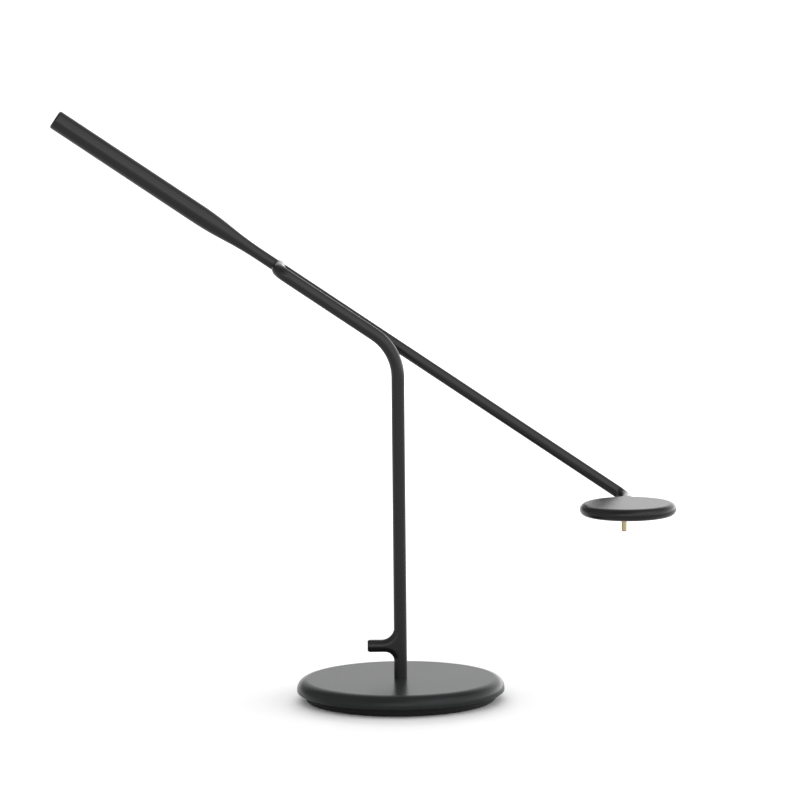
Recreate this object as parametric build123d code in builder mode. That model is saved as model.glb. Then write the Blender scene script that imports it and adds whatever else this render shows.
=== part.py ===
from build123d import *
import math
import os

# Counterweight desk lamp. Millimetres, +Z up, origin at the centre of the base underside.
# The arm runs along X: the head is at +X, the counterweight at -X, and +Y is the arm's side.

# ---- driving dimensions ----
fit = 0.02                      # running fit between a shaft and its bush, on radius
gap = 0.3                       # air between pieces that move past each other

base_r = 100.0                  # disc of the base
base_h = 21.0
base_edge_r = 9.7               # large soft edge on top
base_lip_r = 1.6                # small edge below
foot_inset = 8.6                # foot set in under the disc
foot_h = 8.2
foot_chamfer = 0.6
pad_inset = 4.4                 # pad inside the edge of the foot
pad_t = 2.0
pad_proud = 1.0                 # the pad stands out below the foot
roof_t = 3.0                    # cover over the weight
weight_inset = 3.4              # weight inside the edge of the foot, which carries the cover there
nut_room = 1.5                  # room round the washer, under the weight
nut_play = 0.5                  # room above the washer and nut
stud_proud = 0.3                # stud past its nut
stud_chamfer = 0.8

screw_r = 2.0                   # foot screws
screw_head_r = 3.9
screw_l = 12.0
screw_pcd_r = 70.0
screw_count = 4

stud_r = 4.7                    # threaded stud that holds the stem
stud_in_stem = 16.0
nut_af = 16.0
nut_t = 4.0
washer_r = 11.0
washer_t = 1.5

stem_r = 6.25                   # bent tube
stem_wall = 1.5
stem_bend_r = 50.0
elbow_r = 10.0                  # elbows at the pivot and at the head

outlet_z = 52.6                 # stub for the cord
outlet_r = 6.0
outlet_l = 30.4
outlet_fillet_top = 12.0
outlet_fillet_bottom = 9.0
tee_margin = 1.0                # a branch's blend ends this far inside its block
outlet_bore_r = 4.0
grommet_t = 1.3
grommet_l = 12.0
grommet_lip_r = 5.3
grommet_lip_t = 1.2
grommet_round = 0.5

pivot_x = -113.2                # pivot of the arm
pivot_z = 416.6
arm_y = 30.0                    # the arm lies behind the leg
arm_angle = 34.25               # the arm and the leg are parallel in the rest pose
arm_r = 5.75
arm_wall = 1.25
arm_length = 400.0              # pivot axis to head axis

washer_gap_t = 1.0              # thrust washers in both joints
washer_inset = 0.4
slot_w = 1.2                    # key slots of the round nuts
slot_depth = 1.0
hub_fillet = 1.0                # hub into the arm
hub_proud = 0.7                 # hub past the back of the arm
hub_bore_r = 4.8
pivot_face_y = 17.4             # end of the stem tube at the pivot
shaft_r = 3.4
shaft_bore_r = 1.9
bush_l = 4.6
spring_washer_t = 0.8
shaft_nut_t = 2.8
cap_t = 1.6
cap_round = 1.28
cap_plug_l = 1.6

joint_s = 20.0                  # seam between the arm tube and the counterweight
taper_start = 22.0
taper_end = 95.0
weight_end = 257.0              # pivot axis to the end of the counterweight
weight_bar_r = 9.65
weight_edge_r = 2.0
spigot_r = 4.3
spigot_l = 10.0
grub_r = 1.5
grub_l = 3.4
grub_in = 0.3
grub_key = 1.5

head_face_y = 15.0              # end of the arm tube at the head joint
head_y = -52.5                  # centre of the head
head_r = 46.0
head_t = 11.5
head_fillet = 9.0               # neck into the rim
edge_flat = 0.05                # flat left at the middle of a full round
blend_inset = 0.25              # a branch's blend starts this far inside its tube
head_shaft_r = 3.0
head_shaft_bore_r = 1.6
head_bore_r = 4.4
head_bush_l = 6.0
head_roof_t = 2.75
mouth_r = 30.8                  # recess of the diffuser
mouth_depth = 2.6
mouth_step = 1.6                # seat of the diffuser, round the cavity
bore_overrun = 1.0              # the neck's bore ends this far inside the cavity

thermal_pad_t = 0.4
board_room = 1.0                # room round the board
board_t = 1.6
led_size = 2.8
led_t = 0.8
led_inner_r = 9.0               # two rings of LEDs
led_inner_count = 6
led_outer_r = 19.0
led_outer_count = 12
board_screw_r = 1.2
board_screw_head_r = 2.2
board_screw_head_t = 1.2
board_screw_inset = 3.2         # screws and connector from the edge of the board
connector_inset = 3.2
board_screw_count = 3
board_screw_angle = 30.0
board_screw_bite = 1.8
connector_w = 6.0
connector_l = 4.5
connector_t = 2.4
lead_side = 2.6                 # the lead passes beside the pin
lead_straight = 2.5             # straight out of the shaft, then sloping down
lead_slope_l = 7.5
diffuser_t = 1.8
ring_w = 2.2

pin_x = -2.3                    # pin, from the centre of the head
pin_margin = 1.3                # from the diffuser to the bush of the pin
pin_r = 2.5
pin_out = 21.4                  # below the head
pin_travel = 1.2
pin_flange_r = 3.0
pin_flange_t = 0.8
pin_bush_r = 3.4
pin_round = 1.6
pin_fit = 0.05
switch_t = 1.9
switch_w = 4.4

stem_lead_r = 1.6
stem_lead_bend = 3.2            # from the outlet up into the stem
stem_lead_in = 1.0              # its end, inside the end of the shaft
arm_lead_r = 1.2
arm_lead_bend = 1.8             # from the pivot into the arm
head_lead_r = 1.0
head_lead_bend = 2.0

# ---- derived places ----
foot_r = base_r - foot_inset
pad_r = foot_r - pad_inset
weight_r = foot_r - weight_inset
head_cavity_r = mouth_r - mouth_step
board_r = head_cavity_r - board_room
board_screw_pcd_r = board_r - board_screw_inset
connector_y = board_r - connector_inset             # from the centre of the head
pin_y = mouth_r + pin_margin + pin_bush_r
hub_r = stem_r
rise = math.sin(math.radians(arm_angle))
run = math.cos(math.radians(arm_angle))
stem_bore_r = stem_r - stem_wall
arm_bore_r = arm_r - arm_wall
corner_z = pivot_z + pivot_x * rise / run
arm_dir = Vector(run, 0, -rise)                     # from the pivot down to the head
arm_normal = Vector(rise, 0, run)                   # square to the arm, upwards
pivot_arm = Vector(pivot_x, arm_y, pivot_z)
head_joint = pivot_arm + arm_dir * arm_length
head_x = head_joint.X
head_z = head_joint.Z
pad_top = pad_t
weight_top = base_h - roof_t
hub_front_y = pivot_face_y + washer_gap_t + gap
hub_back_y = arm_y + arm_r + hub_proud
neck_face_y = head_face_y - washer_gap_t - gap
head_top = head_z + head_t / 2
head_bottom = head_z - head_t / 2
cavity_top = head_top - head_roof_t
mouth_top = head_bottom + mouth_depth
board_top = cavity_top - thermal_pad_t
board_bottom = board_top - board_t
bush_y = hub_front_y + gap
nut_y = bush_y + bush_l + gap + spring_washer_t
shaft_end_y = nut_y + shaft_nut_t + gap
head_bush_y = neck_face_y - gap
head_nut_y = head_bush_y - head_bush_l - gap - spring_washer_t
head_shaft_end_y = head_nut_y - shaft_nut_t - gap

os.makedirs("parts", exist_ok=True)


def save(builder, label):
    builder.part.label = label
    export_step(builder.part, f"parts/{label}.step")


def turned_along_y(centre, y_from, y_to, outer_r, bore_r=0.0, mode=Mode.ADD):
    """Round piece along Y about the line through centre, an (x, z) pair."""
    with BuildSketch(Plane(origin=(centre[0], y_from, centre[1]), z_dir=(0, 1, 0))) as section:
        Circle(outer_r)
        if bore_r:
            Circle(bore_r, mode=Mode.SUBTRACT)
    extrude(section.sketch, amount=y_to - y_from, mode=mode)


def key_slots(centre, y_face, depth, outer_r):
    """Two slots for a pin key, cut across a round nut from y_face along -Y or +Y."""
    with BuildSketch(Plane(origin=(centre[0], y_face, centre[1]), z_dir=(0, 1, 0))) as slots:
        with Locations((outer_r, 0), (-outer_r, 0)):
            Rectangle(slot_w, slot_w)
    extrude(slots.sketch, amount=depth, mode=Mode.SUBTRACT)


# ---- base ----
with BuildPart() as base_cover:
    with BuildSketch(Plane.XZ):
        with BuildLine():
            rim_top = (base_r, base_h - base_edge_r)
            lip = (base_r, foot_h + base_lip_r)
            Polyline((stud_r + fit, weight_top), (stud_r + fit, base_h), (base_r - base_edge_r, base_h))
            TangentArc((base_r - base_edge_r, base_h), rim_top, tangent=(1, 0))
            Line(rim_top, lip)
            TangentArc(lip, (base_r - base_lip_r, foot_h), tangent=(0, -1))
            Polyline((base_r - base_lip_r, foot_h), (weight_r + gap, foot_h),
                     (weight_r + gap, weight_top), (stud_r + fit, weight_top))
        make_face()
    revolve(axis=Axis.Z)
save(base_cover, "base_cover")

nut_pocket_r = washer_r + nut_room
nut_pocket_h = washer_t + nut_t + nut_play
with BuildPart() as base_weight:
    with BuildSketch(Plane.XY.offset(foot_h)):
        Circle(weight_r)
        Circle(stud_r + fit, mode=Mode.SUBTRACT)
        with PolarLocations(screw_pcd_r, screw_count):
            Circle(screw_r + fit, mode=Mode.SUBTRACT)
    extrude(amount=weight_top - foot_h)
    with BuildSketch(Plane.XY.offset(foot_h)):
        Circle(nut_pocket_r)
    extrude(amount=nut_pocket_h, mode=Mode.SUBTRACT)
save(base_weight, "base_weight")

with BuildPart() as base_foot:
    with BuildSketch(Plane.XY.offset(pad_proud)):
        Circle(foot_r)
    extrude(amount=foot_h - pad_proud)
    chamfer(base_foot.edges().group_by(Axis.Z)[0], foot_chamfer)
    with BuildSketch(Plane.XY.offset(pad_proud)):
        Circle(pad_r + fit)
    extrude(amount=pad_top - pad_proud, mode=Mode.SUBTRACT)
    with Locations(Plane.XY.offset(pad_top) * Rotation(180, 0, 0)):
        with PolarLocations(screw_pcd_r, screw_count):
            CounterSinkHole(screw_r + fit, screw_head_r + fit)
save(base_foot, "base_foot")

with BuildPart() as base_pad:
    with BuildSketch():
        Circle(pad_r)
    extrude(amount=pad_t)
save(base_pad, "base_pad")

with BuildPart() as base_screws:
    with PolarLocations(screw_pcd_r, screw_count):
        with Locations((0, 0, pad_top)):
            Cylinder(screw_r, screw_l, align=(Align.CENTER, Align.CENTER, Align.MIN))
            Cone(screw_head_r, screw_r, screw_head_r - screw_r,
                 align=(Align.CENTER, Align.CENTER, Align.MIN))
save(base_screws, "base_screws")

washer_z = foot_h + nut_pocket_h - washer_t
stud_bottom = washer_z - nut_t - stud_proud
with BuildPart() as stem_stud:
    with BuildSketch(Plane.XY.offset(stud_bottom)):
        Circle(stud_r)
    extrude(amount=base_h + stud_in_stem - stud_bottom)
    chamfer(stem_stud.edges().group_by(Axis.Z)[-1], stud_chamfer)
save(stem_stud, "stem_stud")

with BuildPart() as stem_washer:
    with BuildSketch(Plane.XY.offset(washer_z)):
        Circle(washer_r)
        Circle(stud_r + fit, mode=Mode.SUBTRACT)
    extrude(amount=washer_t)
save(stem_washer, "stem_washer")

with BuildPart() as stem_nut:
    with BuildSketch(Plane.XY.offset(washer_z - nut_t)):
        RegularPolygon(nut_af / 2, 6, major_radius=False)
        Circle(stud_r + fit, mode=Mode.SUBTRACT)
    extrude(amount=nut_t)
save(stem_nut, "stem_nut")

# ---- stem: one bent tube with the outlet stub ----
tee_half = outlet_r + max(outlet_fillet_top, outlet_fillet_bottom) + tee_margin
stem_core_r = stem_r - blend_inset
with BuildPart() as outlet_tee:
    with BuildSketch(Plane.XZ) as tee_outline:
        with Locations((0, outlet_z)):
            Rectangle(2 * stem_core_r, 2 * tee_half)
            Rectangle(outlet_l, 2 * outlet_r, align=(Align.MAX, Align.CENTER))
        for side, radius in ((1, outlet_fillet_top), (-1, outlet_fillet_bottom)):
            corner = [v for v in tee_outline.vertices()
                      if abs(v.X + stem_core_r) < 0.01 and abs(v.Y - outlet_z - side * outlet_r) < 0.01]
            fillet(corner, radius)
    extrude(amount=outlet_r, both=True)
    long_edges = [e for e in outlet_tee.edges()
                  if abs(abs(e.center().Y) - outlet_r) < 0.01
                  and abs(abs(e.center().Z - outlet_z) - tee_half) > 0.01
                  and abs(e.center().X + outlet_l) > 0.01]
    fillet(long_edges, outlet_r - edge_flat)

with BuildPart() as stem:
    with BuildLine() as stem_path:
        FilletPolyline((0, 0, base_h), (0, 0, corner_z), (pivot_x, 0, pivot_z),
                       (pivot_x, pivot_face_y, pivot_z), radius=[stem_bend_r, elbow_r])
    with BuildSketch(Plane.XY.offset(base_h)):
        Circle(stem_r)
    sweep(path=stem_path.line)
    add(outlet_tee.part)
    with BuildSketch(Plane.XY.offset(base_h)):
        Circle(stem_bore_r)
    sweep(path=stem_path.line, mode=Mode.SUBTRACT)
    with BuildSketch(Plane(origin=(-outlet_l, 0, outlet_z), z_dir=(1, 0, 0))):
        Circle(outlet_bore_r)
    extrude(amount=outlet_l, mode=Mode.SUBTRACT)
save(stem, "stem")

with BuildPart() as outlet_grommet:
    with BuildSketch(Plane(origin=(-outlet_l - grommet_lip_t, 0, outlet_z), z_dir=(1, 0, 0))):
        Circle(grommet_lip_r)
        Circle(outlet_bore_r - grommet_t, mode=Mode.SUBTRACT)
    extrude(amount=grommet_lip_t)
    fillet(outlet_grommet.faces().sort_by(Axis.X)[0].outer_wire().edges(), grommet_round)
    with BuildSketch(Plane(origin=(-outlet_l, 0, outlet_z), z_dir=(1, 0, 0))):
        Circle(outlet_bore_r)
        Circle(outlet_bore_r - grommet_t, mode=Mode.SUBTRACT)
    extrude(amount=grommet_l)
save(outlet_grommet, "outlet_grommet")

with BuildPart() as stem_lead:
    with BuildLine() as lead_path:
        FilletPolyline((grommet_l - outlet_l, 0, outlet_z), (0, 0, outlet_z), (0, 0, corner_z),
                       (pivot_x, 0, pivot_z), (pivot_x, shaft_end_y - stem_lead_in, pivot_z),
                       radius=[stem_lead_bend, stem_bend_r, elbow_r])
    with BuildSketch(Plane(origin=lead_path.line @ 0, z_dir=lead_path.line % 0)):
        Circle(stem_lead_r)
    sweep(path=lead_path.line)
save(stem_lead, "stem_lead")

# ---- pivot: a hollow shaft in the end of the stem, on which the arm's hub turns ----
pivot = (pivot_x, pivot_z)
with BuildPart() as pivot_shaft:
    turned_along_y(pivot, elbow_r, pivot_face_y, stem_bore_r, shaft_bore_r)
    turned_along_y(pivot, pivot_face_y, shaft_end_y, shaft_r, shaft_bore_r)
save(pivot_shaft, "pivot_shaft")

with BuildPart() as pivot_washer:
    turned_along_y(pivot, pivot_face_y, pivot_face_y + washer_gap_t, stem_r - washer_inset, shaft_r + fit)
save(pivot_washer, "pivot_washer")

with BuildPart() as pivot_bush:
    turned_along_y(pivot, bush_y, bush_y + bush_l, hub_bore_r, shaft_r + fit)
save(pivot_bush, "pivot_bush")

with BuildPart() as pivot_spring_washer:
    turned_along_y(pivot, nut_y - spring_washer_t, nut_y, hub_bore_r - gap, shaft_r + fit)
save(pivot_spring_washer, "pivot_spring_washer")

with BuildPart() as pivot_nut:
    turned_along_y(pivot, nut_y, nut_y + shaft_nut_t, hub_bore_r - gap, shaft_r)
    key_slots(pivot, nut_y + shaft_nut_t, -slot_depth, hub_bore_r - gap)
save(pivot_nut, "pivot_nut")

# ---- arm: a tube with its hub at the pivot and an elbow at the head ----
hub_tee_half = hub_r + hub_fillet + tee_margin
hub_reach = arm_y - hub_front_y
hub_core_r = hub_r - blend_inset
arm_core_r = arm_r - blend_inset
with BuildPart() as hub_tee:
    with BuildSketch(Plane(origin=pivot_arm, x_dir=arm_dir, z_dir=arm_normal)) as hub_outline:
        Rectangle(2 * hub_tee_half, 2 * arm_core_r)
        with Locations((0, -hub_reach / 2)):
            Rectangle(2 * hub_core_r, hub_reach)
        corners = [v for v in hub_outline.vertices()
                   if abs(abs(v.X) - hub_core_r) < 0.01 and abs(v.Y + arm_core_r) < 0.01]
        fillet(corners, hub_fillet)
    extrude(amount=arm_core_r, both=True)
    long_edges = [e for e in hub_tee.edges()
                  if abs(abs((e.center() - pivot_arm).dot(arm_normal)) - arm_core_r) < 0.01
                  and abs(abs((e.center() - pivot_arm).dot(arm_dir)) - hub_tee_half) > 0.01
                  and abs(e.center().Y - hub_front_y) > 0.01]
    fillet(long_edges, arm_core_r - edge_flat)

arm_top = pivot_arm - arm_dir * joint_s
grub_plane = Plane(origin=pivot_arm - arm_dir * (joint_s - spigot_l / 2) + Vector(0, arm_r, 0),
                   z_dir=(0, -1, 0))
with BuildPart() as arm:
    with BuildLine() as arm_path:
        FilletPolyline(arm_top, head_joint, (head_x, head_face_y, head_z), radius=elbow_r)
    with BuildSketch(Plane(origin=arm_top, z_dir=arm_dir)):
        Circle(arm_r)
    sweep(path=arm_path.line)
    add(hub_tee.part)
    turned_along_y(pivot, hub_front_y, hub_back_y, hub_r)
    with BuildSketch(Plane(origin=arm_top, z_dir=arm_dir)):
        Circle(arm_bore_r)
    sweep(path=arm_path.line, mode=Mode.SUBTRACT)
    turned_along_y(pivot, hub_front_y, hub_back_y, hub_bore_r, mode=Mode.SUBTRACT)
    with BuildSketch(grub_plane):
        Circle(grub_r + fit)
    extrude(amount=arm_r, mode=Mode.SUBTRACT)
save(arm, "arm")

with BuildPart() as hub_cap:
    turned_along_y(pivot, hub_back_y - cap_plug_l, hub_back_y, hub_bore_r)
    turned_along_y(pivot, hub_back_y, hub_back_y + cap_t, hub_r)
    fillet(hub_cap.edges().group_by(Axis.Y)[-1], cap_round)
save(hub_cap, "hub_cap")

taper_middle = ((taper_start + taper_end) / 2, (arm_r + weight_bar_r) / 2)
with BuildPart() as counterweight:
    with BuildSketch(Plane(origin=pivot_arm, x_dir=-arm_dir, z_dir=(0, 1, 0))):
        with BuildLine():
            Polyline((joint_s - spigot_l, 0), (joint_s - spigot_l, spigot_r), (joint_s, spigot_r),
                     (joint_s, arm_r), (taper_start, arm_r))
            swell = TangentArc((taper_start, arm_r), taper_middle, tangent=(1, 0))
            TangentArc(taper_middle, (taper_end, weight_bar_r), tangent=swell % 1)
            edge_start = (weight_end - weight_edge_r, weight_bar_r)
            Line((taper_end, weight_bar_r), edge_start)
            TangentArc(edge_start, (weight_end, weight_bar_r - weight_edge_r), tangent=(1, 0))
            Polyline((weight_end, weight_bar_r - weight_edge_r), (weight_end, 0), (joint_s - spigot_l, 0))
        make_face()
    revolve(axis=Axis(pivot_arm, -arm_dir))
    with BuildSketch(grub_plane):
        Circle(grub_r + fit)
    extrude(amount=grub_in + grub_l, mode=Mode.SUBTRACT)
save(counterweight, "counterweight")

with BuildPart() as counterweight_screw:
    with BuildSketch(grub_plane.offset(grub_in)):
        Circle(grub_r)
    extrude(amount=grub_l)
    with BuildSketch(grub_plane.offset(grub_in)):
        RegularPolygon(grub_key / 2, 6, major_radius=False)
    extrude(amount=grub_l / 2, mode=Mode.SUBTRACT)
save(counterweight_screw, "counterweight_screw")

with BuildPart() as arm_lead:
    with BuildLine() as lead_path:
        FilletPolyline((pivot_x, shaft_end_y + gap, pivot_z), pivot_arm, head_joint,
                       (head_x, head_shaft_end_y + gap, head_z), radius=[arm_lead_bend, elbow_r])
    with BuildSketch(Plane(origin=lead_path.line @ 0, z_dir=lead_path.line % 0)):
        Circle(arm_lead_r)
    sweep(path=lead_path.line)
save(arm_lead, "arm_lead")

# ---- head joint: a hollow shaft in the end of the arm, on which the neck turns ----
head_axis = (head_x, head_z)
with BuildPart() as head_shaft:
    turned_along_y(head_axis, head_face_y, arm_y - elbow_r, arm_bore_r, head_shaft_bore_r)
    turned_along_y(head_axis, head_shaft_end_y, head_face_y, head_shaft_r, head_shaft_bore_r)
save(head_shaft, "head_shaft")

with BuildPart() as head_washer:
    turned_along_y(head_axis, head_face_y - washer_gap_t, head_face_y, arm_r - washer_inset,
                   head_shaft_r + fit)
save(head_washer, "head_washer")

with BuildPart() as head_bush:
    turned_along_y(head_axis, head_bush_y - head_bush_l, head_bush_y, head_bore_r, head_shaft_r + fit)
save(head_bush, "head_bush")

with BuildPart() as head_spring_washer:
    turned_along_y(head_axis, head_nut_y, head_nut_y + spring_washer_t, head_bore_r - gap,
                   head_shaft_r + fit)
save(head_spring_washer, "head_spring_washer")

with BuildPart() as head_nut:
    turned_along_y(head_axis, head_nut_y - shaft_nut_t, head_nut_y, head_bore_r - gap, head_shaft_r)
    key_slots(head_axis, head_nut_y - shaft_nut_t, slot_depth, head_bore_r - gap)
save(head_nut, "head_nut")

# ---- head: one disc with a full round edge that runs on round the neck ----
head_centre = Plane(origin=(head_x, head_y, head_z))
neck_l = neck_face_y - head_y
with BuildPart() as head_shell:
    with BuildSketch(head_centre) as shell_outline:
        Circle(head_r)
        Rectangle(2 * arm_r, neck_l, align=(Align.CENTER, Align.MIN))
        roots = [v for v in shell_outline.vertices() if 0 < v.Y and abs(v.Y - neck_l) > 0.01]
        fillet(roots, head_fillet)
    extrude(amount=head_t / 2, both=True)
    rim = [e for e in head_shell.edges()
           if abs(abs(e.center().Z - head_z) - head_t / 2) < 0.01
           and abs(e.center().Y - neck_face_y) > 0.01]
    fillet(rim, head_t / 2 - edge_flat)
    with BuildSketch(head_centre.offset(-head_t / 2)):
        Circle(head_cavity_r)
    extrude(amount=head_t - head_roof_t, mode=Mode.SUBTRACT)
    with BuildSketch(head_centre.offset(-head_t / 2)):
        Circle(mouth_r)
    extrude(amount=mouth_depth, mode=Mode.SUBTRACT)
    with BuildSketch(head_centre.offset(-head_t / 2)):
        with Locations((pin_x, pin_y)):
            Circle(pin_bush_r)
    extrude(amount=head_t - head_roof_t, mode=Mode.SUBTRACT)
    turned_along_y(head_axis, head_y + head_cavity_r - bore_overrun, neck_face_y, head_bore_r,
                   mode=Mode.SUBTRACT)
    with BuildSketch(head_centre.offset(cavity_top - head_z)):
        with PolarLocations(board_screw_pcd_r, board_screw_count, start_angle=board_screw_angle):
            Circle(board_screw_r + fit)
    extrude(amount=board_screw_bite, mode=Mode.SUBTRACT)
save(head_shell, "head_shell")

with BuildPart() as thermal_pad:
    with BuildSketch(head_centre.offset(board_top - head_z)):
        Circle(board_r)
        with PolarLocations(board_screw_pcd_r, board_screw_count, start_angle=board_screw_angle):
            Circle(board_screw_r + fit, mode=Mode.SUBTRACT)
    extrude(amount=thermal_pad_t)
save(thermal_pad, "thermal_pad")

with BuildPart() as led_board:
    with BuildSketch(head_centre.offset(board_bottom - head_z)):
        Circle(board_r)
        with PolarLocations(board_screw_pcd_r, board_screw_count, start_angle=board_screw_angle):
            Circle(board_screw_r + fit, mode=Mode.SUBTRACT)
    extrude(amount=board_t)
save(led_board, "led_board")

with BuildPart() as leds:
    with BuildSketch(head_centre.offset(board_bottom - head_z)):
        for ring_r, count in ((led_inner_r, led_inner_count), (led_outer_r, led_outer_count)):
            with PolarLocations(ring_r, count):
                Rectangle(led_size, led_size)
    extrude(amount=-led_t)
save(leds, "leds")

with BuildPart() as board_screws:
    with BuildSketch(head_centre.offset(board_bottom - head_z)):
        with PolarLocations(board_screw_pcd_r, board_screw_count, start_angle=board_screw_angle):
            Circle(board_screw_head_r)
    extrude(amount=-board_screw_head_t)
    with BuildSketch(head_centre.offset(board_bottom - head_z)):
        with PolarLocations(board_screw_pcd_r, board_screw_count, start_angle=board_screw_angle):
            Circle(board_screw_r)
    extrude(amount=board_t + thermal_pad_t + board_screw_bite - gap)
save(board_screws, "board_screws")

with BuildPart() as board_connector:
    with BuildSketch(head_centre.offset(board_bottom - head_z)):
        with Locations((lead_side, connector_y)):
            Rectangle(connector_w, connector_l)
    extrude(amount=-connector_t)
save(board_connector, "board_connector")

lead_z = board_bottom - connector_t / 2
lead_bend_y = head_shaft_end_y - lead_straight
with BuildPart() as head_lead:
    with BuildLine() as lead_path:
        FilletPolyline((head_x, head_shaft_end_y - gap, head_z), (head_x, lead_bend_y, head_z),
                       (head_x + lead_side, lead_bend_y - lead_slope_l, lead_z),
                       (head_x + lead_side, head_y + connector_y + connector_l / 2, lead_z),
                       radius=head_lead_bend)
    with BuildSketch(Plane(origin=lead_path.line @ 0, z_dir=lead_path.line % 0)):
        Circle(head_lead_r)
    sweep(path=lead_path.line)
save(head_lead, "head_lead")

with BuildPart() as diffuser:
    with BuildSketch(head_centre.offset(mouth_top - head_z)):
        Circle(mouth_r - fit)
    extrude(amount=-diffuser_t)
save(diffuser, "diffuser")

with BuildPart() as diffuser_ring:
    with BuildSketch(head_centre.offset(-head_t / 2)):
        Circle(mouth_r)
        Circle(mouth_r - ring_w, mode=Mode.SUBTRACT)
    extrude(amount=mouth_depth - diffuser_t)
save(diffuser_ring, "diffuser_ring")

# ---- dimmer: the brass pin is pushed up against a switch ----
switch_bottom = cavity_top - switch_t
flange_top = switch_bottom - gap - pin_travel
flange_bottom = flange_top - pin_flange_t
with BuildPart() as dimmer_switch:
    with BuildSketch(head_centre.offset(switch_bottom - head_z)):
        with Locations((pin_x, pin_y)):
            Rectangle(switch_w, switch_w)
    extrude(amount=switch_t)
save(dimmer_switch, "dimmer_switch")

with BuildPart() as pin_bush:
    with BuildSketch(head_centre.offset(-head_t / 2)):
        with Locations((pin_x, pin_y)):
            Circle(pin_bush_r)
            Circle(pin_r + pin_fit, mode=Mode.SUBTRACT)
    extrude(amount=flange_bottom - fit - head_bottom)
save(pin_bush, "pin_bush")

with BuildPart() as dimmer_pin:
    with BuildSketch(head_centre.offset(-head_t / 2 - pin_out)):
        with Locations((pin_x, pin_y)):
            Circle(pin_r)
    extrude(amount=pin_out + flange_top - head_bottom)
    fillet(dimmer_pin.edges().group_by(Axis.Z)[0], pin_round)
    with BuildSketch(head_centre.offset(flange_bottom - head_z)):
        with Locations((pin_x, pin_y)):
            Circle(pin_flange_r)
    extrude(amount=pin_flange_t)
save(dimmer_pin, "dimmer_pin")
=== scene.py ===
import math

import bpy
from mathutils import Matrix, Vector

# Counterweight desk lamp: finishes, light and view. Metres, +Z up, origin under the base.

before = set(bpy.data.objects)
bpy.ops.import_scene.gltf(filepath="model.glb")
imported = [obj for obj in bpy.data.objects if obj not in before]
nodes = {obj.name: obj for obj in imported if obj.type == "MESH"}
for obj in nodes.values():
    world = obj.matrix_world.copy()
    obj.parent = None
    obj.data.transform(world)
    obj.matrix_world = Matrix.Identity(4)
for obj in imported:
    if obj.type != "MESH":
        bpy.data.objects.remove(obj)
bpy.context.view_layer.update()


# ---- light levels ----
fill_level = 0.8                # even light from all round
floor_paper = 0.94              # grey of the paper round the lamp
floor_glow_level = 1.6          # further off the paper shines by itself where it is seen
floor_glow_reach = 4.0          # metres from the lamp that make 1 in the next line
floor_glow = [(0.03, 0.0), (0.25, 0.75)]  # share of the reach, share of the glow
# How bright the panels and walls of the studio are, as a gloss sees them. A turn runs from the front (0)
# round by the left (0.25), the back (0.5) and the right (0.75) to the front again (1).
turns = (0.0, 0.07, 0.16, 0.25, 0.38, 0.5, 0.62, 0.75, 0.84, 0.93, 1.0)
wall_levels = {                 # sine of the height above the horizon: brightness at each turn
    0.0: (2.0, 2.4, 1.4, 0.6, 0.3, 0.0, 5.5, 5.0, 4.5, 2.4, 2.0),
    0.25: (2.8, 2.0, 1.3, 1.0, 0.3, 0.0, 3.0, 2.8, 3.0, 3.8, 2.8),
    0.65: (1.0, 0.4, 0.8, 0.9, 0.2, 0.0, 0.4, 2.0, 4.2, 3.4, 1.0),
}
back_from, back_middle, back_to = 0.38, 0.5, 0.62   # the turns where the back wall starts, peaks and ends
back_levels = [(0.0, 3.3), (0.11, 2.1), (0.15, 1.35), (0.19, 0.2), (0.27, 1.2), (0.6, 2.2), (1.0, 0.8)]
top_level = 0.8
studio_peak = max(top_level, *(level for sine, level in back_levels),
                  *(level for row in wall_levels.values() for level in row))

# ---- floor and camera ----
floor_side, floor_front, floor_back = 15, -12, 30
camera_place = (0.0019, -4.9346, 0.9358)
camera_pitch = math.radians(7.444)      # how far it looks down
camera_roll = math.radians(-0.559)
camera_lens = 234.0


# ---- shader maths ----
class Shade:
    """One output of a node, with the arithmetic that the finishes use."""

    def __init__(self, finish, socket):
        self.finish = finish
        self.socket = socket

    def _math(self, operation, *values):
        return self.finish.add("ShaderNodeMath", {"operation": operation}, dict(enumerate(values)))

    def __add__(self, other):
        return self._math("ADD", self, other)

    __radd__ = __add__

    def __rsub__(self, other):
        return self._math("SUBTRACT", other, self)

    def __mul__(self, other):
        return self._math("MULTIPLY", self, other)

    __rmul__ = __mul__

    def at_least(self, other):
        return self._math("MAXIMUM", self, other)


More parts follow.
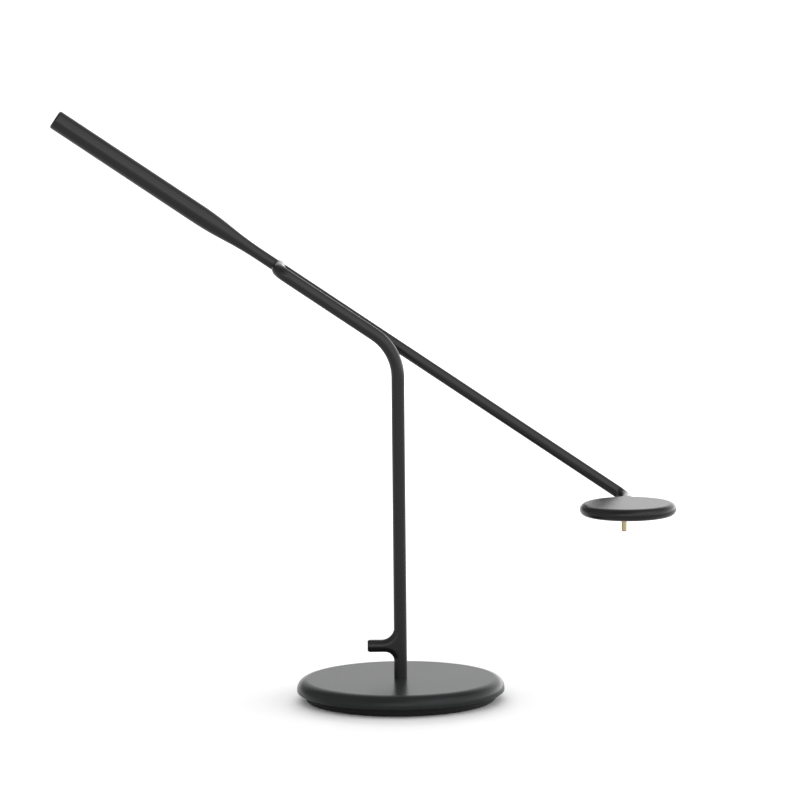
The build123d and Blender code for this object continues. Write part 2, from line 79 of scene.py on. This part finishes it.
class Finish:
    """A material, or the studio's world, under construction."""

    def __init__(self, name, tree=None):
        if tree is None:
            self.material = bpy.data.materials.new(name)
            self.material.use_nodes = True
            tree = self.material.node_tree
        self.tree = tree
        self.tree.nodes.clear()
        self.place = self.add("ShaderNodeTexCoord", {}, {}, "Object")

    def add(self, kind, settings, values, output=0):
        """Adds a node: its settings first, then the values or links of its sockets."""
        node = self.tree.nodes.new(kind)
        stops = settings.pop("stops", None)
        for key, value in settings.items():
            setattr(node, key, value)
        if stops:
            ramp = node.color_ramp
            while len(ramp.elements) < len(stops):
                ramp.elements.new(0.5)
            for element, (position, level) in zip(ramp.elements, stops):
                element.position = position
                element.color = grey(level)
        for key, value in values.items():
            socket = self.find(node.inputs, key)
            if isinstance(value, Shade):
                self.tree.links.new(value.socket, socket)
            else:
                socket.default_value = value
        return Shade(self, self.find(node.outputs, output))

    @staticmethod
    def find(sockets, key):
        """The socket of this identifier, or else of this name or number."""
        for socket in sockets:
            if socket.identifier == key:
                return socket
        return sockets[key]

    def noise(self, scale, detail=2.0, roughness=0.5, place=None):
        return self.add("ShaderNodeTexNoise", {}, {"Vector": place or self.place, "Scale": scale,
                                                   "Detail": detail, "Roughness": roughness}, "Fac")

    def ramp(self, value, *stops):
        return self.add("ShaderNodeValToRGB", {"stops": stops}, {"Fac": value})

    def blend(self, amount, first, second):
        return self.add("ShaderNodeMix", {"data_type": "RGBA"},
                        {"Factor_Float": amount, "A_Color": first, "B_Color": second}, "Result_Color")

    def bump(self, height, strength, depth):
        return self.add("ShaderNodeBump", {},
                        {"Height": height, "Strength": strength, "Distance": depth})

    def mix_shaders(self, amount, first, second):
        return self.add("ShaderNodeMixShader", {}, {0: amount, 1: first, 2: second}, "Shader")

    def surface(self, values):
        return self.add("ShaderNodeBsdfPrincipled", {}, values, "BSDF")

    def add_output(self, shader, kind="ShaderNodeOutputMaterial"):
        node = self.tree.nodes.new(kind)
        self.tree.links.new(shader.socket, node.inputs["Surface"])

    def done(self, shader):
        self.add_output(shader)
        return self.material


def grey(level, tint=(1.0, 1.0, 1.0)):
    return tuple(level * channel for channel in tint) + (1.0,)


def scaled(colour, factor):
    return tuple(min(1.0, channel * factor) for channel in colour[:3]) + (1.0,)


# ---- finishes ----
def powder_coat(name, level, roughness, gloss, tint=(1.0, 1.03, 0.99)):
    """Satin black powder coat: a fine orange peel with faint cloudiness."""
    finish = Finish(name)
    peel = finish.noise(scale=1500.0, detail=3.0, roughness=0.55)
    cloud = finish.noise(scale=14.0, detail=3.0)
    specks = finish.ramp(finish.noise(scale=5200.0, detail=1.0), (0.60, 0.0), (0.72, 1.0))
    colour = finish.blend(cloud, grey(level * 0.85, tint), grey(level * 1.15, tint))
    colour = finish.blend(specks * 0.25, colour, grey(level * 2.2, tint))
    return finish.done(finish.surface({
        "Base Color": colour,
        "Roughness": roughness - 0.03 + cloud * 0.04 + peel * 0.03,
        "Specular IOR Level": gloss,
        "Normal": finish.bump(peel, strength=0.12, depth=0.00005),
    }))


def moulded_plastic(name, colour, roughness, gloss=0.5):
    """Moulded plastic with a fine spark texture."""
    finish = Finish(name)
    texture_height = finish.noise(scale=900.0, detail=4.0, roughness=0.6)
    cloud = finish.noise(scale=20.0)
    return finish.done(finish.surface({
        "Base Color": finish.blend(cloud, colour, scaled(colour, 1.12)),
        "Roughness": roughness - 0.04 + texture_height * 0.08,
        "Specular IOR Level": gloss,
        "Normal": finish.bump(texture_height, strength=0.2, depth=0.00008),
    }))


def rubber(name, level):
    """Matt rubber, a little dusty."""
    finish = Finish(name)
    grain = finish.noise(scale=700.0, detail=4.0, roughness=0.65)
    dust = finish.ramp(finish.noise(scale=60.0, detail=4.0), (0.5, 0.0), (0.8, 1.0))
    return finish.done(finish.surface({
        "Base Color": finish.blend(dust * 0.3, grey(level), grey(level * 2.0)),
        "Roughness": 0.78 + grain * 0.12,
        "Normal": finish.bump(grain, strength=0.35, depth=0.0001),
    }))


def turned_metal(name, colour, roughness):
    """Bare turned or drawn metal with fine tool lines."""
    finish = Finish(name)
    stretched = finish.add("ShaderNodeMapping", {}, {"Vector": finish.place, "Scale": (0.06, 0.06, 1.0)})
    tool_lines = finish.noise(scale=2600.0, detail=3.0, roughness=0.6, place=stretched)
    stain = finish.noise(scale=90.0, detail=3.0)
    return finish.done(finish.surface({
        "Base Color": finish.blend(stain, scaled(colour, 0.8), colour),
        "Metallic": 1.0,
        "Roughness": roughness - 0.05 + tool_lines * 0.08 + stain * 0.05,
        "Normal": finish.bump(tool_lines, strength=0.15, depth=0.00003),
    }))


def cast_metal(name, level):
    """Rough cast iron."""
    finish = Finish(name)
    grain = finish.noise(scale=350.0, detail=6.0, roughness=0.7)
    return finish.done(finish.surface({
        "Base Color": finish.blend(grain, grey(level * 0.7), grey(level * 1.3)),
        "Metallic": 0.7,
        "Roughness": 0.6 + grain * 0.25,
        "Normal": finish.bump(grain, strength=0.6, depth=0.0003),
    }))


def milk_plastic(name):
    """Opal diffuser, finely frosted."""
    finish = Finish(name)
    frost = finish.noise(scale=1800.0, detail=3.0, roughness=0.6)
    cloud = finish.noise(scale=30.0)
    darker, paler = grey(0.80, (1.0, 0.995, 0.97)), grey(0.86, (1.0, 0.995, 0.98))
    return finish.done(finish.surface({
        "Base Color": finish.blend(cloud, darker, paler),
        "Roughness": 0.42 + frost * 0.12,
        "Subsurface Weight": 0.15,
        "Subsurface Scale": 0.002,
        "Normal": finish.bump(frost, strength=0.15, depth=0.00004),
    }))


coat = powder_coat("coat_black", 0.010, roughness=0.28, gloss=0.19)
bearing = moulded_plastic("bearing_plastic", grey(0.02), roughness=0.4)
wire = moulded_plastic("wire_black", grey(0.03), roughness=0.45)
steel = turned_metal("steel_bare", grey(0.56), roughness=0.3)
finishes = {                    # every other piece is bare steel
    "base_cover": powder_coat("coat_black_base", 0.016, roughness=0.28, gloss=0.10,
                              tint=(0.88, 1.06, 1.03)),
    "stem": coat, "arm": coat, "hub_cap": coat, "counterweight": coat,
    "head_shell": powder_coat("coat_black_head", 0.008, roughness=0.24, gloss=0.16),
    "base_foot": moulded_plastic("foot_plastic", grey(0.008), roughness=0.6, gloss=0.12),
    "base_pad": rubber("pad_rubber", 0.02),
    "outlet_grommet": rubber("grommet_rubber", 0.015),
    "base_weight": cast_metal("ballast_iron", 0.12),
    "dimmer_pin": turned_metal("pin_brass", (0.33, 0.28, 0.165, 1.0), roughness=0.34),
    "diffuser": milk_plastic("diffuser_opal"),
    "diffuser_ring": moulded_plastic("ring_plastic", grey(0.02), roughness=0.4),
    "pin_bush": moulded_plastic("bush_plastic", grey(0.025), roughness=0.4),
    "led_board": moulded_plastic("board_white", grey(0.78), roughness=0.35),
    "leds": moulded_plastic("led_yellow", (0.82, 0.70, 0.22, 1.0), roughness=0.3),
    "thermal_pad": rubber("thermal_pad_grey", 0.35),
    "board_connector": moulded_plastic("connector_cream", (0.80, 0.78, 0.68, 1.0), roughness=0.35),
    "dimmer_switch": moulded_plastic("switch_black", grey(0.03), roughness=0.35),
    "pivot_washer": bearing, "pivot_bush": bearing, "head_washer": bearing, "head_bush": bearing,
    "stem_lead": wire, "arm_lead": wire, "head_lead": wire,
}
for name, piece in nodes.items():
    piece.data.materials.clear()
    piece.data.materials.append(finishes.get(name, steel))


# ---- floor ----
def ray_kinds(finish):
    """Two outputs: 1 on the camera's own rays, and 1 on every ray that sees and doesn't only light.

    The second kind are the rays of the camera, of a gloss and of a clear surface.
    """
    rays = finish.tree.nodes.new("ShaderNodeLightPath")
    camera_ray, glossy_ray, clear_ray = (
        Shade(finish, rays.outputs[name])
        for name in ("Is Camera Ray", "Is Glossy Ray", "Is Transmission Ray"))
    return camera_ray, camera_ray.at_least(glossy_ray).at_least(clear_ray)


floor_mesh = bpy.data.meshes.new("floor")
floor_mesh.from_pydata([(-floor_side, floor_front, 0), (floor_side, floor_front, 0),
                        (floor_side, floor_back, 0), (-floor_side, floor_back, 0)], [], [(0, 1, 2, 3)])
floor = bpy.data.objects.new("floor", floor_mesh)
bpy.context.collection.objects.link(floor)
paper = Finish("floor_white")
seen = ray_kinds(paper)[1]
distance = paper.add("ShaderNodeVectorMath", {"operation": "LENGTH"}, {0: paper.place}, "Value")
glowing = seen * paper.ramp(distance * (1.0 / floor_glow_reach), *floor_glow)
matt = paper.add("ShaderNodeBsdfDiffuse", {}, {"Color": grey(floor_paper)}, "BSDF")
glow = paper.add("ShaderNodeEmission", {}, {"Color": grey(1.0), "Strength": floor_glow_level},
                 "Emission")
from_below = paper.add("ShaderNodeNewGeometry", {}, {}, "Backfacing")
clear = paper.add("ShaderNodeBsdfTransparent", {}, {}, "BSDF")
white = paper.mix_shaders(glowing, matt, glow)
floor_mesh.materials.append(paper.done(paper.mix_shaders(from_below, white, clear)))


# ---- studio ----
def dimmed(levels):
    """Stops of a ramp, which can't go past 1: the levels as shares of the brightest."""
    return [(position, level / studio_peak) for position, level in levels]


world = bpy.data.worlds.new("studio")
world.use_nodes = True
bpy.context.scene.world = world
sky = Finish("studio", world.node_tree)
camera_ray, seen = ray_kinds(sky)
direction = sky.add("ShaderNodeTexCoord", {}, {}, "Generated")
to_right, to_back, height = (
    sky.add("ShaderNodeSeparateXYZ", {}, {"Vector": direction}, axis) for axis in "XYZ")
angle = sky.add("ShaderNodeMath", {"operation": "ARCTAN2"}, {0: to_right, 1: to_back})
turn = angle * (0.5 / math.pi) + 0.5
behind = sky.ramp(turn, (back_from, 0.0), (back_middle, 1.0), (back_to, 0.0))
studio = behind * sky.ramp(height, *dimmed(back_levels))
sines = (-1.0, *wall_levels, 1.0)
for below, sine, above in zip(sines, sines[1:], sines[2:]):   # each band fades into its neighbours
    band = sky.ramp(height, *[(s, float(s == sine)) for s in (below, sine, above) if s >= 0.0])
    studio += band * sky.ramp(turn, *dimmed(zip(turns, wall_levels[sine])))
studio += (1.0 - behind) * sky.ramp(height, *dimmed([(max(wall_levels), 0.0), (1.0, top_level)]))
level = seen * (studio * studio_peak).at_least(camera_ray) + (1.0 - seen) * fill_level
background = sky.add("ShaderNodeBackground", {}, {"Color": grey(1.0), "Strength": level}, "Background")
sky.add_output(background, "ShaderNodeOutputWorld")


# ---- lamps ----
def softbox(name, place, aim, width, height, radiance, in_gloss=True):
    """A rectangle of even light that faces its aim."""
    data = bpy.data.lights.new(name, "AREA")
    data.shape = "RECTANGLE"
    data.size = width
    data.size_y = height
    data.energy = radiance * math.pi * width * height
    lamp = bpy.data.objects.new(name, data)
    lamp.visible_glossy = in_gloss
    lamp.matrix_world = (Matrix.Translation(Vector(place))
                         @ (Vector(aim) - Vector(place)).to_track_quat("-Z", "Y").to_matrix().to_4x4())
    bpy.context.collection.objects.link(lamp)


softbox("front_light", place=(-0.3, -3.8, 1.3), aim=(0.0, 0.0, 0.35),
        width=2.6, height=1.6, radiance=1.5)
softbox("right_light", place=(3.0, 0.2, 1.1), aim=(0.1, 0.0, 0.3),
        width=2.4, height=2.0, radiance=2.0, in_gloss=False)
softbox("back_light", place=(0.0, 3.2, 1.5), aim=(0.0, 0.0, 0.1),
        width=2.6, height=1.2, radiance=6.5, in_gloss=False)

# ---- view ----
camera_data = bpy.data.cameras.new("camera")
camera_data.sensor_width = 36.0
camera_data.lens = camera_lens
camera_data.clip_end = 100.0
camera = bpy.data.objects.new("camera", camera_data)
bpy.context.collection.objects.link(camera)
level_right = Vector((1, 0, 0))
level_up = Vector((0, math.sin(camera_pitch), math.cos(camera_pitch)))
camera_right = level_right * math.cos(camera_roll) + level_up * math.sin(camera_roll)
camera_up = level_up * math.cos(camera_roll) - level_right * math.sin(camera_roll)
camera_axes = Matrix((camera_right, camera_up, camera_right.cross(camera_up))).transposed().to_4x4()
camera.matrix_world = Matrix.Translation(camera_place) @ camera_axes
bpy.context.scene.camera = camera
bpy.context.scene.view_settings.view_transform = "Standard"
